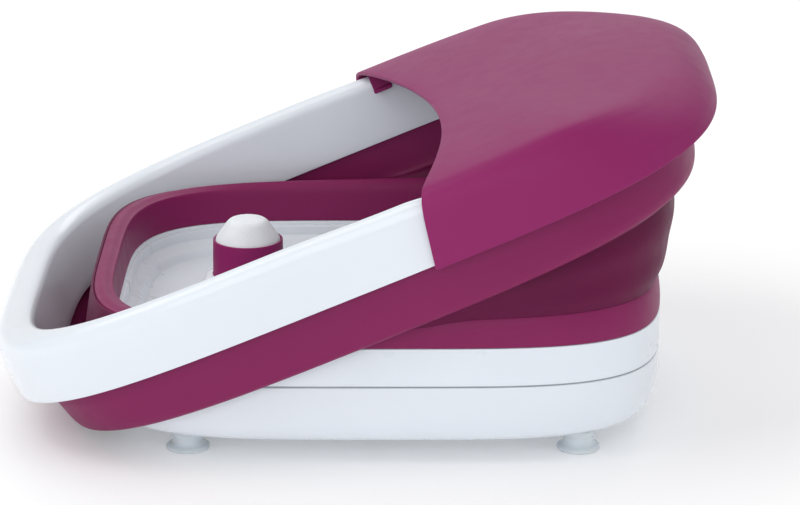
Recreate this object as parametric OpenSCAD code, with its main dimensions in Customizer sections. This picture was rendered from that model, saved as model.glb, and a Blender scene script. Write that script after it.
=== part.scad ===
// Collapsible foot spa basin: a double-walled base with a moulded tub, a soft
// bellows wall, a rigid rim that folds down at the heel end, and a lift-off
// splash guard over the toes. Millimetres, +Z up, +X towards the toe end.

/* [Base] */
// Half length of the base
base_a = 165; // [150:1:180]
// Half width of the base
base_b = 144; // [135:1:155]
// Roundness of the outline (superellipse exponent)
plan_n = 4.2; // [3.4:0.1:5]
// Height of the parting line between tub and bottom shell
seam_z = 49; // [46:0.5:51]
// Height of the upper edge of the white outer wall
collar_z = 71.6; // [70:0.2:73]
// Height of the tub floor, where the feet stand
floor_z = 45; // [44:0.5:46]
// Height of the raised middle of the tub that carries the pedicure post
island_z = 70; // [68:0.5:71]
// Wall thickness of the rigid mouldings
wall = 2.6; // [2.2:0.1:2.8]

/* [Rim] */
// Half length of the rim on the heel side
rim_heel = 212.5; // [209:0.5:214]
// Half length of the rim on the toe side
rim_toe = 219; // [218:0.5:220]
// Half width of the rim
rim_b = 163.3; // [162:0.1:164]
// Tilt of the rim with the heel side pressed down, in degrees
tilt = 22.8; // [22:0.1:23]

/* [Splash guard] */
// Half length of the guard on the toe side, measured like the rim
guard_toe = 226.5; // [226:0.5:228]
// Half width of the guard
guard_b = 166.8; // [166.6:0.1:168]
// Height of the guard's crown above the rim's lower edge
guard_h = 48.3; // [47:0.1:52]
// Wall thickness of the guard
guard_t = 2.4; // [2:0.1:2.5]

/* [Pedicure post] */
// Distance of the post from the middle of the base, towards the heel
post_x = 77.2; // [70:0.5:82]
// Outer radius of the post
post_r = 20.9; // [20:0.1:22]

/* [Feet] */
// Height of the base above the floor
foot_h = 12.6; // [12.2:0.1:13.2]
// Radius of the foot pad
pad_r = 12.7; // [12:0.1:14]

/* [Smoothness] */
// Points round each soft outline
ring_n = 64; // [48:8:72]

/* [Hidden] */
$fn = 64;

shift_x = 14.2;             // brings the middle of the whole object to x = 0
rim_px = -13.7;             // rim centre when folded
rim_pz = 105.9;
hinge_x = 200;              // line about which the rim folds
hinge_z = 140;
white = [0.93, 0.94, 0.96];
berry = [0.52, 0.18, 0.36];
dark_berry = [0.40, 0.12, 0.28];
screw_at = [[-135, -50], [-135, 50], [0, -105], [0, 105], [138, -45], [138, 45]];
foot_at = [[-107.7, -108], [-107.7, 108], [115.6, -108], [115.6, 108]];
motor_z = 42;
knob_x = 20;
knob_z = 30;
gland_x = 80;
gland_z = 32;

function spow(c, e) = sign(c) * pow(abs(c), e);
function smooth(x, lo, hi) = let (t = max(0, min(1, (x - lo) / (hi - lo)))) t * t * (3 - 2 * t);
// one point of a rounded outline with its own length on each side of the middle
function plan_pt(t, ah, at, b, n) = let (c = cos(t), s = sin(t))
  [(c < 0 ? ah : at) * spow(c, 2 / n), b * spow(s, 2 / n)];
function plan_pt2(t, ah, at, b, nh, nt) = plan_pt(t, ah, at, b, cos(t) < 0 ? nh : nt);
function base_plan(d, n = 64) = [for (i = [0:n - 1]) plan_pt(360 * (i + 0.5) / n, base_a - d, base_a - d, base_b - d, plan_n)];
function rot_xz(p, a) = [p[0] * cos(a) - p[2] * sin(a), p[1], p[0] * sin(a) + p[2] * cos(a)];

// closed ring solid: rows[i][j], i round the section, j round the outline
module ring_solid(rows) {
  p = len(rows); n = len(rows[0]);
  polyhedron(points = [for (r = rows) each r],
    faces = [for (i = [0:p - 1], j = [0:n - 1], k = [0, 1])
      let (a = i * n + j, b = i * n + (j + 1) % n, c = ((i + 1) % p) * n + (j + 1) % n, d = ((i + 1) % p) * n + j)
      k == 0 ? [a, c, b] : [a, d, c]], convexity = 8);
}
// bowl solid: rows run from the middle of the underside to the middle of the top
module bowl_solid(rows) {
  p = len(rows); n = len(rows[0]);
  polyhedron(points = [for (r = rows) each r],
    faces = concat([[for (j = [0:n - 1]) j]],
      [for (i = [0:p - 2], j = [0:n - 1], k = [0, 1])
        let (a = i * n + j, b = i * n + (j + 1) % n, c = (i + 1) * n + (j + 1) % n, d = (i + 1) * n + j)
        k == 0 ? [a, c, b] : [a, d, c]],
      [[for (j = [n - 1:-1:0]) (p - 1) * n + j]]), convexity = 8);
}
// sheet solid: an outer and an inner grid of the same size, joined round the edge
module sheet_solid(o, q) {
  r = len(o); c = len(o[0]); m = r * c;
  edge = concat([for (j = [0:c - 1]) j], [for (i = [1:r - 1]) i * c + c - 1],
    [for (j = [c - 2:-1:0]) (r - 1) * c + j], [for (i = [r - 2:-1:1]) i * c]);
  e = len(edge);
  polyhedron(points = concat([for (x = o) each x], [for (x = q) each x]),
    faces = concat(
      // the diagonals mirror about the middle, so that both sides are alike
      [for (i = [0:r - 2], j = [0:c - 2], k = [0, 1]) let (a = i * c + j, f = j < (c - 1) / 2)
        k == 0 ? [a, f ? a + c : a + c + 1, a + 1] : [f ? a + 1 : a, a + c, a + c + 1]],
      [for (i = [0:r - 2], j = [0:c - 2], k = [0, 1]) let (a = m + i * c + j, f = j < (c - 1) / 2)
        k == 0 ? [a, a + 1, f ? a + c : a + c + 1] : [f ? a + 1 : a, a + c + 1, a + c]],
      [for (i = [0:e - 1], k = [0, 1]) let (a = edge[i], b = edge[(i + 1) % e])
        k == 0 ? [a, b, b + m] : [a, b + m, a + m]]), convexity = 8);
}
module wall_ring(d0, d1, z0, z1) {
  translate([0, 0, z0]) linear_extrude(z1 - z0) difference() {
    polygon(base_plan(d0));
    polygon(base_plan(d1));
  }
}
module in_base() { translate([shift_x, 0, 0]) children(); }
module in_rim() { translate([shift_x + rim_px, 0, rim_pz]) rotate([0, -tilt, 0]) children(); }

// ---------------------------------------------------------------- base
island_pts = [for (i = [0:47]) let (p = plan_pt(360 * (i + 0.5) / 48, 84, 84, 31, 3.2)) [p[0] - 26, p[1]]];
island_in = [for (i = [0:47]) let (p = plan_pt(360 * (i + 0.5) / 48, 81.4, 81.4, 28.4, 3.2)) [p[0] - 26, p[1]]];

module base_tub() color(white) in_base() {
    wall_ring(0, wall, seam_z + 0.4, collar_z);
    wall_ring(0, 2 * wall, collar_z - 2.4, collar_z);
    wall_ring(wall, 2 * wall, collar_z - 2.4, 82);
    wall_ring(wall, 10.4, 79.6, 82);
    wall_ring(7.8, 10.4, 60, 82);
    wall_ring(7.8, 15.6, 60, 62.6);
    wall_ring(13, 15.6, 51, 62.6);
    wall_ring(13, 21, 51, 53.5);
    wall_ring(18.4, 21, floor_z - wall, 53.5);
}
// the floor of the tub, with the bosses for the screws from below
module tub_floor() color(white) in_base() difference() {
  union() {
    translate([0, 0, floor_z - wall]) linear_extrude(wall) polygon(base_plan(21));
    for (p = screw_at) translate([p[0], p[1], 16.6]) cylinder(r = 4.5, h = floor_z - 17);
  }
  translate([0, 0, floor_z - wall - 1]) linear_extrude(wall + 2) polygon(island_pts);
  for (p = screw_at) translate([p[0], p[1], 16]) cylinder(r = 1.55, h = 19);
}
// the hollow island in the middle of the floor, which carries the post
module tub_island() color(white) in_base() difference() {
  union() {
    translate([0, 0, floor_z - wall]) linear_extrude(island_z - floor_z + wall) polygon(island_pts);
    translate([-post_x, 0, island_z - 1]) cylinder(r = 17.9, h = 3.9);
  }
  translate([0, 0, floor_z - wall - 1]) linear_extrude(island_z - floor_z + 1) polygon(island_in);
}

shell_out = [[17, 0], [10, 1.6], [5.8, 4.6], [2.9, 9.2], [1.2, 15], [0.4, 21.5], [0, seam_z - 0.4 - foot_h]];
inner_floor = 16.4;         // height of the inside of the bottom shell
shell_in = [[2.6, seam_z - 0.4 - foot_h], [3, 34 - foot_h], [4, 28 - foot_h], [5.8, 23.4 - foot_h], [8.6, 20.4 - foot_h], [12.4, 18 - foot_h], [18, inner_floor - foot_h]];
module bottom_shell() color(white) in_base() difference() {
  bowl_solid([for (s = concat(shell_out, shell_in))
    [for (p = base_plan(s[0], 56)) [p[0], p[1], foot_h + s[1]]]]);
  for (p = screw_at) translate([p[0], p[1], foot_h - 2]) cylinder(r = 1.9, h = 8);
  for (p = foot_at) translate([p[0], p[1], foot_h - 2]) cylinder(r = 4, h = 8);
  translate([knob_x, 130, knob_z]) rotate([-90, 0, 0]) cylinder(r = 6.3, h = 30);
  translate([gland_x, 130, gland_z]) rotate([-90, 0, 0]) cylinder(r = 6.05, h = 30);
}

module tub_gasket() color([0.55, 0.57, 0.6]) in_base() wall_ring(0.7, 2.5, seam_z - 0.4, seam_z + 0.4);

module suction_feet() color([0.86, 0.91, 0.95]) in_base() for (p = foot_at) translate([p[0], p[1], 0]) difference() {
  union() {
    cylinder(r = pad_r, h = 2.6);
    cylinder(r = 9.3, h = foot_h - 0.1);
    cylinder(r = 3.95, h = inner_floor + 0.6);
    translate([0, 0, inner_floor + 0.2]) cylinder(r = 5.2, h = 2);
  }
  translate([0, 0, -1]) cylinder(r = 8, h = 2);
}

module base_screws() color([0.75, 0.76, 0.78]) in_base() for (p = screw_at) translate([p[0], p[1], 0]) {
  difference() {
    union() {
      translate([0, 0, foot_h - 2]) cylinder(r = 3.2, h = 2);
      translate([0, 0, foot_h - 0.5]) cylinder(r = 1.5, h = 18);
    }
    translate([-0.4, -2, foot_h - 3]) cube([0.8, 4, 2]);
    translate([-2, -0.4, foot_h - 3]) cube([4, 0.8, 2]);
  }
}

// ---------------------------------------------------------------- bellows
crest = 88.5;               // top of the lower band half way along
crest_rise = 4.5;           // it stands this much higher at the toe end
band_sec = [[0, 71.8], [0.3, 80], [0.9, 84], [2.3, 86.9], [4.6, 88.3], [6.6, 88.4], [8.8, 87.2], [10.7, 84.8],
  [11.7, 81.4], [13, 62.8], [10.6, 62.8], [10.6, 82.2], [2.4, 82.2], [2.4, 71.8]];
function crest_dz(x, z) = crest_rise * x / base_a * smooth(z, 82.3, crest);
module bellows_lower_band() color(berry) in_base()
  ring_solid([for (s = band_sec) [for (p = base_plan(s[0], ring_n)) [p[0], p[1], s[1] + crest_dz(p[0], s[1])]]]);

// outline of the upper band at height h in the rim's own frame:
// half length at the heel, at the toe, and half width
function up_sec(h) = [
  lookup(h, [[-31, 190], [-29.5, 191.8], [-26, 193], [-15, 194.8], [0, 197.2], [5, 197.2]]),
  lookup(h, [[-31, 199.4], [-29.5, 201.8], [-26, 203.4], [-15, 205.2], [0, 206.4], [5, 206.4]]),
  lookup(h, [[-31, 153.6], [-29.5, 155.8], [-26, 157], [-15, 157.2], [0, 156.9], [5, 156.9]])];
// outline exponent: the band is a little rounder at its foot
function up_n(h) = lookup(h, [[-31, 3.5], [-9, 4], [12, 4]]);
up_rows = concat([for (h = [5, 0, -8, -15, -21, -26, -29.5, -30.5]) [h, 0]], [for (h = [-27.5, -21, -15, -8, 0, 5]) [h, 3.7]]);
module bellows_upper_band() color(berry) in_rim()
  ring_solid([for (s = up_rows) let (u = up_sec(s[0]))
    [for (j = [0:ring_n - 1]) let (t = 360 * (j + 0.5) / ring_n, p = plan_pt2(t, u[0] - s[1], u[1] - s[1], u[2] - s[1], up_n(s[0]), 3.4)) [p[0], p[1], s[0]]]]);

// the web runs from the crest of the lower band to the foot of the upper band;
// w = 0 stays with the base, w = 1 with the rim, and between them it turns part way
web_w = [0, 0.03, 0.07, 0.13, 0.22, 0.34, 0.46, 0.58, 0.7, 0.8, 0.87, 0.94, 1];
web_n = len(web_w) - 1;
rim_open = let (q = rot_xz([hinge_x - rim_px, 0, hinge_z - rim_pz], -tilt)) [hinge_x - q[0], 0, hinge_z - q[2]];
// it leaves the lower band at its outer shoulder where the rim hangs below it, and nearer the crest where the rim stands above it
function web_low(t) = let (q = plan_pt(t, base_a, base_a, base_b, plan_n), s = smooth(q[0], 0, 60), o = 1.4 - 4 * s,
    p = plan_pt(t, base_a + o, base_a + o, base_b + o, plan_n)) [p[0], p[1], 83 + (crest - 82.8 + crest_rise * p[0] / base_a) * s];
function web_top(t) = let (p = plan_pt2(t, 187.6, 196.6, 151.6, 3.55, 3.4)) [p[0] + rim_open[0], p[1], rim_open[2] - 31.7];
// round the toe it is tucked in under the foot of the upper band
function web_tuck(w) = 1 - 0.07 * (1 - smooth(w, 0.84, 1));
function web_pt(t, w) = let (a = web_low(t), c = web_top(t), k = 1 + (web_tuck(w) - 1) * smooth(c[0], 20, 120), b = [c[0] * k, c[1] * k, c[2]],
    m = [a[0] + (b[0] - a[0]) * w, a[1] + (b[1] - a[1]) * w, a[2] + (b[2] - a[2]) * w],
    q = rot_xz([m[0] - hinge_x, m[1], m[2] - hinge_z], tilt * w))
  [q[0] + hinge_x, q[1], q[2] + hinge_z + 16 * w * (1 - w) * (1 - 0.5 * w)];
function web_nrm(t, w) = let (e = 0.006, u = web_pt(t + 1, w) - web_pt(t - 1, w), v = web_pt(t, min(1, w + e)) - web_pt(t, max(0, w - e)),
    c = cross(u, v)) c / norm(c);
module bellows_web() color(dark_berry) in_base()
  ring_solid(concat(
    [for (i = [0:web_n]) [for (j = [0:ring_n - 1]) let (t = 360 * (j + 0.5) / ring_n, w = web_w[i]) web_pt(t, w) + web_nrm(t, w) * 0.9]],
    [for (i = [web_n:-1:0]) [for (j = [0:ring_n - 1]) let (t = 360 * (j + 0.5) / ring_n, w = web_w[i]) web_pt(t, w) - web_nrm(t, w) * 0.9]]));

// ---------------------------------------------------------------- rim
rim_sec = [[0, 1], [0, 30], [0.8, 34.6], [2.8, 38.3], [6, 40], [9.3, 39.3], [11.8, 37], [12.9, 33], [12.6, 15], [12.5, -3],
  [11.3, -3], [11.2, 1.5], [10.4, 15], [10.5, 32], [9, 36.3], [6, 37.5], [3.6, 35.9], [2.5, 30], [2.5, 1]];
// the rim gets lower under the guard, whose top slopes down to the toe end
function rim_low(x, h) = h > 1 ? h - (1.5 * smooth(x, -30, 45) + 25 * smooth(x, 45, 160)) * min(1, (h - 1) / 29) : h;
module rim_frame() color(white) in_rim()
  ring_solid([for (s = rim_sec) [for (j = [0:ring_n - 1])
    let (t = 360 * (j + 0.5) / ring_n, p = plan_pt2(t, rim_heel - 1.9 * s[0], rim_toe - 1.62 * s[0], rim_b - s[0], 4, 3.4))
    [p[0], p[1], rim_low(p[0], s[1])]]]);

// ---------------------------------------------------------------- splash guard
guard_x0 = 60;              // middle of the guard's family of outlines
// section of the guard, [inset, height], along the sides and round the toe
side_sec = [[0, 0], [0, 14], [0, 24], [0.4, 31], [1.6, 36.5], [4.2, 40.8], [8, 43], [16, 44.6], [32, 46.1], [60, 47.4], [105, guard_h - 0.1], [guard_b, guard_h]];
toe_sec = [[0, 0], [0.8, 6.5], [2.7, 12.5], [5.3, 17.8], [8.6, 22.4], [13, 26.4], [19.4, 29.8], [29.6, 33.4], [46, 38], [68, 42.6], [105, 46.4], [guard_b, guard_h]];
side_in = [[guard_t, 0], [guard_t, 14], [guard_t, 24], [2.7, 30.2], [3.6, 34.8], [5.8, 38.6], [9, 40.7], [16.4, 42.2], [32.2, 43.7], [60, 45], [105, guard_h - 2.5], [guard_b, guard_h - 2.4]];
toe_in = [[guard_t, 0], [3.2, 6], [5, 11.6], [7.5, 16.5], [10.6, 20.6], [14.7, 24.3], [20.5, 27.5], [30.4, 31.1], [46.7, 35.7], [68.5, 40.3], [105.2, 44], [guard_b, guard_h - 2.4]];
// roundness of the outline at each level: squarer at the edge, rounder at the shoulder
level_n = [3.35, 3.3, 3.05, 2.8, 2.6, 2.5, 2.5, 2.5, 2.5, 2.5, 2.5, 2.5];
levels = len(side_sec) - 1;
// the front edge: a hollow curve, with its foot swept forward
function edge_x(y, h) = 67.9 - 0.204 * y - 0.00113 * y * y + 0.0000026 * y * y * y - 7 * max(0, 1 - h / 40);
function guard_pt(i, j, half, side, toe) =
  // i counts from the front edge to the toe, j across from -half to half
  let (r = max(i, abs(j)), k = levels - r,
    n = level_n[k], g = r == 0 ? 0 : pow(pow(i / r, n) + pow(abs(j) / r, n), -1 / n),
    ux = r == 0 ? 0 : i / r * g, uy = r == 0 ? 0 : j / r * g,
    wt = smooth(abs(ux), 0.43, 1),
    s = side[k], q = toe[k], d = s[0] * (1 - wt) + q[0] * wt, h = s[1] * (1 - wt) + q[1] * wt,
    la = (guard_toe - guard_x0) * (1 - d / guard_b), lb = guard_b - d,
    x = guard_x0 + la * ux, y = lb * uy, e = edge_x(y, h))
  [e + (x - guard_x0) * (guard_toe - e) / (guard_toe - guard_x0), y, h];
module splash_guard() color(berry) in_rim()
  sheet_solid([for (i = [0:levels]) [for (j = [-levels:levels]) guard_pt(i, j, levels, side_sec, toe_sec)]],
    [for (i = [0:levels]) [for (j = [-levels:levels]) guard_pt(i, j, levels, side_in, toe_in)]]);

module guard_clips() color(berry) in_rim() for (s = [[24, 148], [72, -145.5]]) translate([s[0], s[1], 0]) {
  translate([0, -1, 29]) cube([12, 2, 14]);
  translate([0, s[1] > 0 ? -4.2 : 1, 29]) cube([12, 3.2, 2.6]);
}

// ---------------------------------------------------------------- pedicure post
module pedicure_holder() color(berry) in_base() translate([-post_x, 0, island_z]) difference() {
  cylinder(r = post_r, h = 21.7);
  translate([0, 0, -1]) cylinder(r = 18, h = 4);
  translate([0, 0, 5.2]) cylinder(r = post_r - 1.3, h = 20);
}
module pumice_plug() color([0.88, 0.89, 0.92]) in_base() translate([-post_x, 0, island_z + 5.3]) difference() {
  cylinder(r = post_r - 1.4, h = 14.6);
  translate([0, 0, -1]) cylinder(r = post_r - 4, h = 12);
}
module pumice_stone() color([0.9, 0.91, 0.93]) in_base() translate([-post_x, 0, island_z + 20]) rotate_extrude()
  polygon([[0, 0], [19.4, 0], [19.4, 1.6], [18, 4.5], [14, 10], [11.8, 12.4], [9.2, 13.8], [5, 14.5], [0, 14.6]]);

// ---------------------------------------------------------------- heating
module heater_plate() color([0.8, 0.8, 0.82]) in_base() translate([62, -80, 40.8]) cube([70, 160, 1.5]);
module heater_element() color([0.5, 0.42, 0.36]) in_base() translate([97, 0, 37.4]) {
  for (s = [-1, 1]) translate([s * 17, -60, 0]) rotate([-90, 0, 0]) cylinder(r = 3.2, h = 120);
  translate([0, -60, 0]) rotate([0, 0, 180]) rotate_extrude(angle = 180) translate([17, 0]) circle(r = 3.2);
}
module thermal_cutout() color([0.2, 0.2, 0.22]) in_base() translate([97, 20, 33.4]) {
  cylinder(r = 8, h = 7.2);
  translate([-10.5, -3, 0]) cube([21, 6, 1.2]);
}

// ---------------------------------------------------------------- vibration drive
module motor_housing() color([0.7, 0.71, 0.73]) in_base() translate([-40, 0, motor_z]) rotate([0, 90, 0]) difference() {
  union() {
    cylinder(r = 13, h = 35);
    cylinder(r = 5, h = 38);
  }
  translate([0, 0, 4]) cylinder(r = 1.65, h = 40);
}
module motor_shaft() color([0.85, 0.85, 0.87]) in_base() translate([-35.8, 0, motor_z]) rotate([0, 90, 0]) cylinder(r = 1.6, h = 48);
module eccentric_weight() color([0.72, 0.6, 0.35]) in_base() translate([0, 0, motor_z]) rotate([0, 90, 0]) difference() {
  union() {
    cylinder(r = 4, h = 9);
    intersection() {
      cylinder(r = 12, h = 9);
      translate([0, -20, -1]) cube([40, 40, 12]);
    }
  }
  translate([0, 0, -1]) cylinder(r = 1.62, h = 12);
}
grommet_at = [[-42, -19], [-42, 19], [-4, -19], [-4, 19]];
module motor_bracket() color([0.62, 0.63, 0.66]) in_base() difference() {
  union() {
    translate([-47, -24, 20]) cube([48, 48, 2]);
    for (x = [-36, -12]) translate([x, -16, 20]) cube([2.5, 32, 37]);
  }
  translate([-50, 0, motor_z]) rotate([0, 90, 0]) cylinder(r = 13.04, h = 60);
  for (p = grommet_at) translate([p[0], p[1], 18]) cylinder(r = 1.65, h = 6);
}
module motor_grommets() color([0.12, 0.12, 0.13]) in_base() for (p = grommet_at) translate([p[0], p[1], 16.45]) difference() {
  cylinder(r = 4.5, h = 3.5);
  translate([0, 0, -1]) cylinder(r = 1.65, h = 6);
}
module motor_screws() color([0.75, 0.76, 0.78]) in_base() for (p = grommet_at) translate([p[0], p[1], 0]) {
  translate([0, 0, 22.05]) cylinder(r = 3, h = 1.8);
  translate([0, 0, 16.6]) cylinder(r = 1.55, h = 6);
}

// ---------------------------------------------------------------- electrics
board_at = [[74, -81], [74, -39], [126, -81], [126, -39]];
module control_board() color([0.1, 0.35, 0.2]) in_base() difference() {
  union() {
    translate([70, -85, 22]) cube([60, 50, 1.6]);
    translate([80, -78, 23.5]) cube([18, 14, 8.5]);
    translate([108, -72, 23.5]) cylinder(r = 5, h = 9);
    translate([104, -60, 23.5]) cube([14, 8, 3]);
    translate([82, -56, 23.5]) cube([10, 12, 5]);
  }
  for (p = board_at) translate([p[0], p[1], 20]) cylinder(r = 1.6, h = 6);
}
module board_standoffs() color([0.85, 0.85, 0.85]) in_base() for (p = board_at) translate([p[0], p[1], 16.45]) {
  cylinder(r = 3, h = 5.5);
  cylinder(r = 1.5, h = 8.4);
}
module switch_body() color([0.15, 0.15, 0.17]) in_base() difference() {
  translate([knob_x - 12, 121, 22.5]) cube([24, 15.5, 19.5]);
  translate([knob_x, 126, knob_z]) rotate([-90, 0, 0]) cylinder(r = 3.05, h = 20);
}
module selector_knob() color(berry) in_base() translate([knob_x, 0, knob_z]) {
  translate([0, 126.5, 0]) rotate([-90, 0, 0]) cylinder(r = 3, h = 14);
  translate([0, 138.4, 0]) rotate([-90, 0, 0]) cylinder(r = 4.4, h = 8);
  translate([0, 144.9, 0]) rotate([-90, 0, 0]) cylinder(r = 12, h = 5);
  translate([-2, 149, -10.5]) cube([4, 4, 21]);
}
module knob_seal() color([0.1, 0.1, 0.1]) in_base() translate([knob_x, 141.3, knob_z]) rotate([90, 0, 0])
  rotate_extrude() translate([5.35, 0]) circle(r = 0.85, $fn = 24);
module terminal_block() color([0.9, 0.9, 0.88]) in_base() translate([68, 98, 22.5]) difference() {
  cube([24, 13, 14]);
  for (x = [5, 12, 19]) translate([x, 6.5, 9]) cylinder(r = 1.8, h = 6);
}
module cord_gland() color([0.16, 0.16, 0.18]) in_base() translate([gland_x, 0, gland_z]) rotate([-90, 0, 0]) difference() {
  union() {
    translate([0, 0, 133]) cylinder(r = 6, h = 16);
    translate([0, 0, 143.8]) cylinder(r = 8.5, h = 2.4);
    translate([0, 0, 133]) cylinder(r = 8.2, h = 2.4);
  }
  translate([0, 0, 130]) cylinder(r = 3.6, h = 30);
}
// a wire laid level through the points of its route, mitred at the bends
function unit(v) = v / norm(v);
module wire(pts, r = 1.2, k = 8) {
  n = len(pts);
  rows = [for (i = [0:n - 1]) let (a = i > 0 ? unit(pts[i] - pts[i - 1]) : unit(pts[1] - pts[0]),
      b = i < n - 1 ? unit(pts[i + 1] - pts[i]) : a, t = unit(a + b), m = 1 / max(0.3, t * a), s = cross(t, [0, 0, 1]))
    [for (j = [0:k - 1]) pts[i] + s * (r * m * cos(360 * j / k)) + [0, 0, r * sin(360 * j / k)]]];
  bowl_solid([for (q = rows) [for (j = [k - 1:-1:0]) q[j]]]);
}
module inner_wires() color([0.75, 0.2, 0.15]) in_base() {
  wire([[78.4, 111.2, 32], [78.4, 132.8, 32]]);
  wire([[81.6, 111.2, 32], [81.6, 132.8, 32]]);
  wire([[67.8, 104, 27], [49, 104, 27], [46, 107, 27], [46, 127, 27], [43, 130, 27], [32.2, 130, 27]]);
  wire([[20, 120.8, 26], [20, 63, 26], [23, 60, 26], [57, 60, 26], [60, 57, 26], [60, -57, 26], [63, -60, 26], [69.8, -60, 24.8]]);
  wire([[14, 120.8, 30], [14, 59, 30], [11, 56, 30], [-17, 56, 30], [-20, 53, 30], [-20, 14, 30]]);
}

base_tub();
tub_floor();
tub_island();
bottom_shell();
tub_gasket();
suction_feet();
base_screws();
bellows_lower_band();
bellows_web();
bellows_upper_band();
rim_frame();
splash_guard();
guard_clips();
pedicure_holder();
pumice_plug();
pumice_stone();
heater_plate();
heater_element();
thermal_cutout();
motor_housing();
motor_shaft();
eccentric_weight();
motor_bracket();
motor_grommets();
motor_screws();
control_board();
board_standoffs();
switch_body();
selector_knob();
knob_seal();
terminal_block();
cord_gland();
inner_wires();
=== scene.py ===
"""Looks of the collapsible foot spa basin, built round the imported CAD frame.

Lengths in the shape functions are millimetres from the middle of the base; put() turns them into the
row frame in metres. Every visible shell is lofted from the same outlines as the CAD, with rounded
edges and finer sections.
"""

import math

import bmesh
import bpy
import numpy as np
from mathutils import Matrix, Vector, noise


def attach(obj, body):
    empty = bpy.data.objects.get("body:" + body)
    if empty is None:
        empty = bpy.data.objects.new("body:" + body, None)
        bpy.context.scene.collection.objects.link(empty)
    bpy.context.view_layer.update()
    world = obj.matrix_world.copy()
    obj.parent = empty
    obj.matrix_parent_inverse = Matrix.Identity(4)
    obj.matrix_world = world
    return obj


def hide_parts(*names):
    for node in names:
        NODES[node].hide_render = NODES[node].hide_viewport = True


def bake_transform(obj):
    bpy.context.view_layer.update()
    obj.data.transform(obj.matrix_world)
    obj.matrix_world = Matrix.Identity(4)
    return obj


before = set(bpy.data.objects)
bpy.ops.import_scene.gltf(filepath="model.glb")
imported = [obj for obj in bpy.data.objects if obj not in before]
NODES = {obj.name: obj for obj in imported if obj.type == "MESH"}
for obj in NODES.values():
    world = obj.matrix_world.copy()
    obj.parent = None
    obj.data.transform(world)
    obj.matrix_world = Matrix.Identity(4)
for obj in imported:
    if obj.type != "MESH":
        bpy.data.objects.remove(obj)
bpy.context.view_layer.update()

SHIFT = 14.2
TH = math.radians(22.8)
RIM_PX, RIM_PZ = -13.7, 105.9
HINGE = (200.0, 140.0)
BASE_A, BASE_B, BASE_N = 165.0, 144.0, 4.2


# ------------------------------------------------------------------ shape helpers
def ring_angles(n):
    return 2 * math.pi * (np.arange(n) + 0.5) / n


PHI = ring_angles(320)


def sup(ah, at, b, n, phi=PHI):
    """Rounded outline: half lengths ah (heel) and at (toe), half width b, exponent n."""
    c, s = np.cos(phi), np.sin(phi)
    g = (np.abs(c) ** n + np.abs(s) ** n) ** (-1.0 / n)
    a = np.where(c < 0, ah, at)
    return a * c * g, b * s * g


def sup2(ah, at, b, nh, nt, phi=PHI):
    """The same outline with its own roundness on each half."""
    return sup(ah, at, b, np.where(np.cos(phi) < 0, nh, nt), phi)


def smooth(x, lo, hi):
    t = np.clip((np.asarray(x, float) - lo) / (hi - lo), 0, 1)
    return t * t * (3 - 2 * t)


def rot_xz(x, z, a):
    return x * np.cos(a) - z * np.sin(a), x * np.sin(a) + z * np.cos(a)


def put(x, y, z):
    """Base millimetres to row-frame metres, as an (n, 3) array."""
    x, y, z = np.broadcast_arrays(
        np.asarray(x, float), np.asarray(y, float), np.asarray(z, float)
    )
    return np.stack([(x + SHIFT) / 1000, y / 1000, z / 1000], -1)


def rim_to_base(x, y, h):
    c, s = math.cos(TH), math.sin(TH)
    return RIM_PX + x * c - h * s, y, RIM_PZ + x * s + h * c


def put_rim(x, y, h):
    x, y, h = np.broadcast_arrays(
        np.asarray(x, float), np.asarray(y, float), np.asarray(h, float)
    )
    return put(*rim_to_base(x, y, h))


def arc_corner(p, q, r, rad, seg):
    """Points of a fillet at q between p and r."""
    a, b = np.array(p) - np.array(q), np.array(r) - np.array(q)
    la, lb = np.linalg.norm(a), np.linalg.norm(b)
    a, b = a / la, b / lb
    cosang = float(np.clip(a @ b, -1, 1))
    ang = math.acos(cosang)
    if rad <= 0 or ang > math.pi - 1e-3:
        return [tuple(q)]
    t = min(rad / math.tan(ang / 2), 0.48 * la, 0.48 * lb)
    rad = t * math.tan(ang / 2)
    c = np.array(q) + (a + b) / np.linalg.norm(a + b) * rad / math.sin(ang / 2)
    p0, p1 = np.array(q) + a * t, np.array(q) + b * t
    v0, v1 = p0 - c, p1 - c
    turn = math.atan2(v0[0] * v1[1] - v0[1] * v1[0], float(v0 @ v1))
    n = max(2, int(math.ceil(abs(turn) / math.radians(90) * seg)))
    out = []
    for i in range(n + 1):
        w = turn * i / n
        out.append(
            (
                c[0] + v0[0] * math.cos(w) - v0[1] * math.sin(w),
                c[1] + v0[0] * math.sin(w) + v0[1] * math.cos(w),
            )
        )
    return out


def fillet(pts, closed=False, seg=6, step=6.0):
    """A line through (u, v, radius) corners, with rounded corners and long runs divided."""
    n = len(pts)
    raw = []
    for i, (u, v, r) in enumerate(pts):
        if not closed and i in (0, n - 1):
            raw.append((u, v))
            continue
        p, q = pts[i - 1], pts[(i + 1) % n]
        raw += arc_corner(p[:2], (u, v), q[:2], r, seg)
    out = []
    m = len(raw)
    for i in range(m if closed else m - 1):
        a, b = np.array(raw[i]), np.array(raw[(i + 1) % m])
        k = max(1, int(np.linalg.norm(b - a) // step))
        for j in range(k):
            out.append(tuple(a + (b - a) * j / k))
    if not closed:
        out.append(raw[-1])
    return out


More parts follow.
